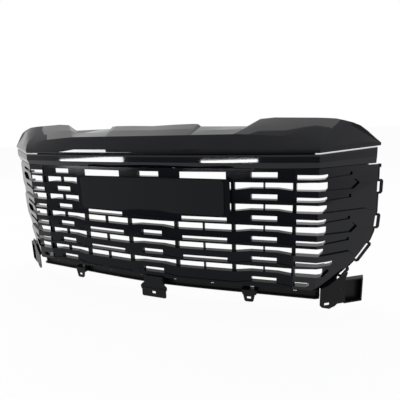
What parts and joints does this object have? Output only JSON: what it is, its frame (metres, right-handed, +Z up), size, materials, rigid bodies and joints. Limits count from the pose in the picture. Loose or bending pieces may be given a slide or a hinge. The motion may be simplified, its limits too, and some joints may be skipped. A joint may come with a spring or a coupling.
{
  "type": "front grille",
  "caption": "Wide gloss-black vehicle front grille with wavy slotted bars, a blank badge panel, swept wings, an upper moulding and fixing brackets.",
  "frame": {"origin": "middle of the upper row of bolt holes, on the top face of the carrier's flange", "axes": "+X to the grille's left side as mounted (the right of the picture), +Y to the rear of the vehicle, +Z up; the front of the grille faces -Y"},
  "size_m": [1.0672, 0.1412, 0.45],
  "materials": {
    "gloss_black": "high gloss, moulded in black",
    "satin_black": "satin, fine moulded grain",
    "badge_black": "matt, even",
    "zinc_grey": "zinc plated"
  },
  "bodies": {
    "root": {"upper_moulding": "gloss_black", "header_band": "gloss_black", "upper_carrier": "satin_black", "wave_bar_1": "gloss_black", "wave_bar_2_left": "gloss_black", "wave_bar_2_right": "gloss_black", "wave_bar_3": "gloss_black", "wave_bar_4": "gloss_black", "wave_bar_5": "gloss_black", "wave_bar_6": "gloss_black", "main_rib_left_outer": "satin_black", "main_rib_left_middle": "satin_black", "main_rib_left_inner": "satin_black", "main_rib_right_inner": "satin_black", "main_rib_right_middle": "satin_black", "main_rib_right_outer": "satin_black", "thin_rib_left_outer": "satin_black", "thin_rib_left_inner": "satin_black", "thin_rib_right_inner": "satin_black", "thin_rib_right_outer": "satin_black", "wing_panel_left": "gloss_black", "wing_panel_right": "gloss_black", "side_frame_left": "satin_black", "side_frame_right": "satin_black", "lower_rail": "satin_black", "centre_bracket": "satin_black", "corner_bracket_left": "satin_black", "corner_bracket_right": "satin_black", "badge_panel": "badge_black", "badge_bezel": "gloss_black", "badge_carrier": "satin_black", "moulding_screws": "zinc_grey", "band_screws": "zinc_grey", "badge_screws": "zinc_grey", "wing_screws": "zinc_grey"}
  },
  "joints": []
}
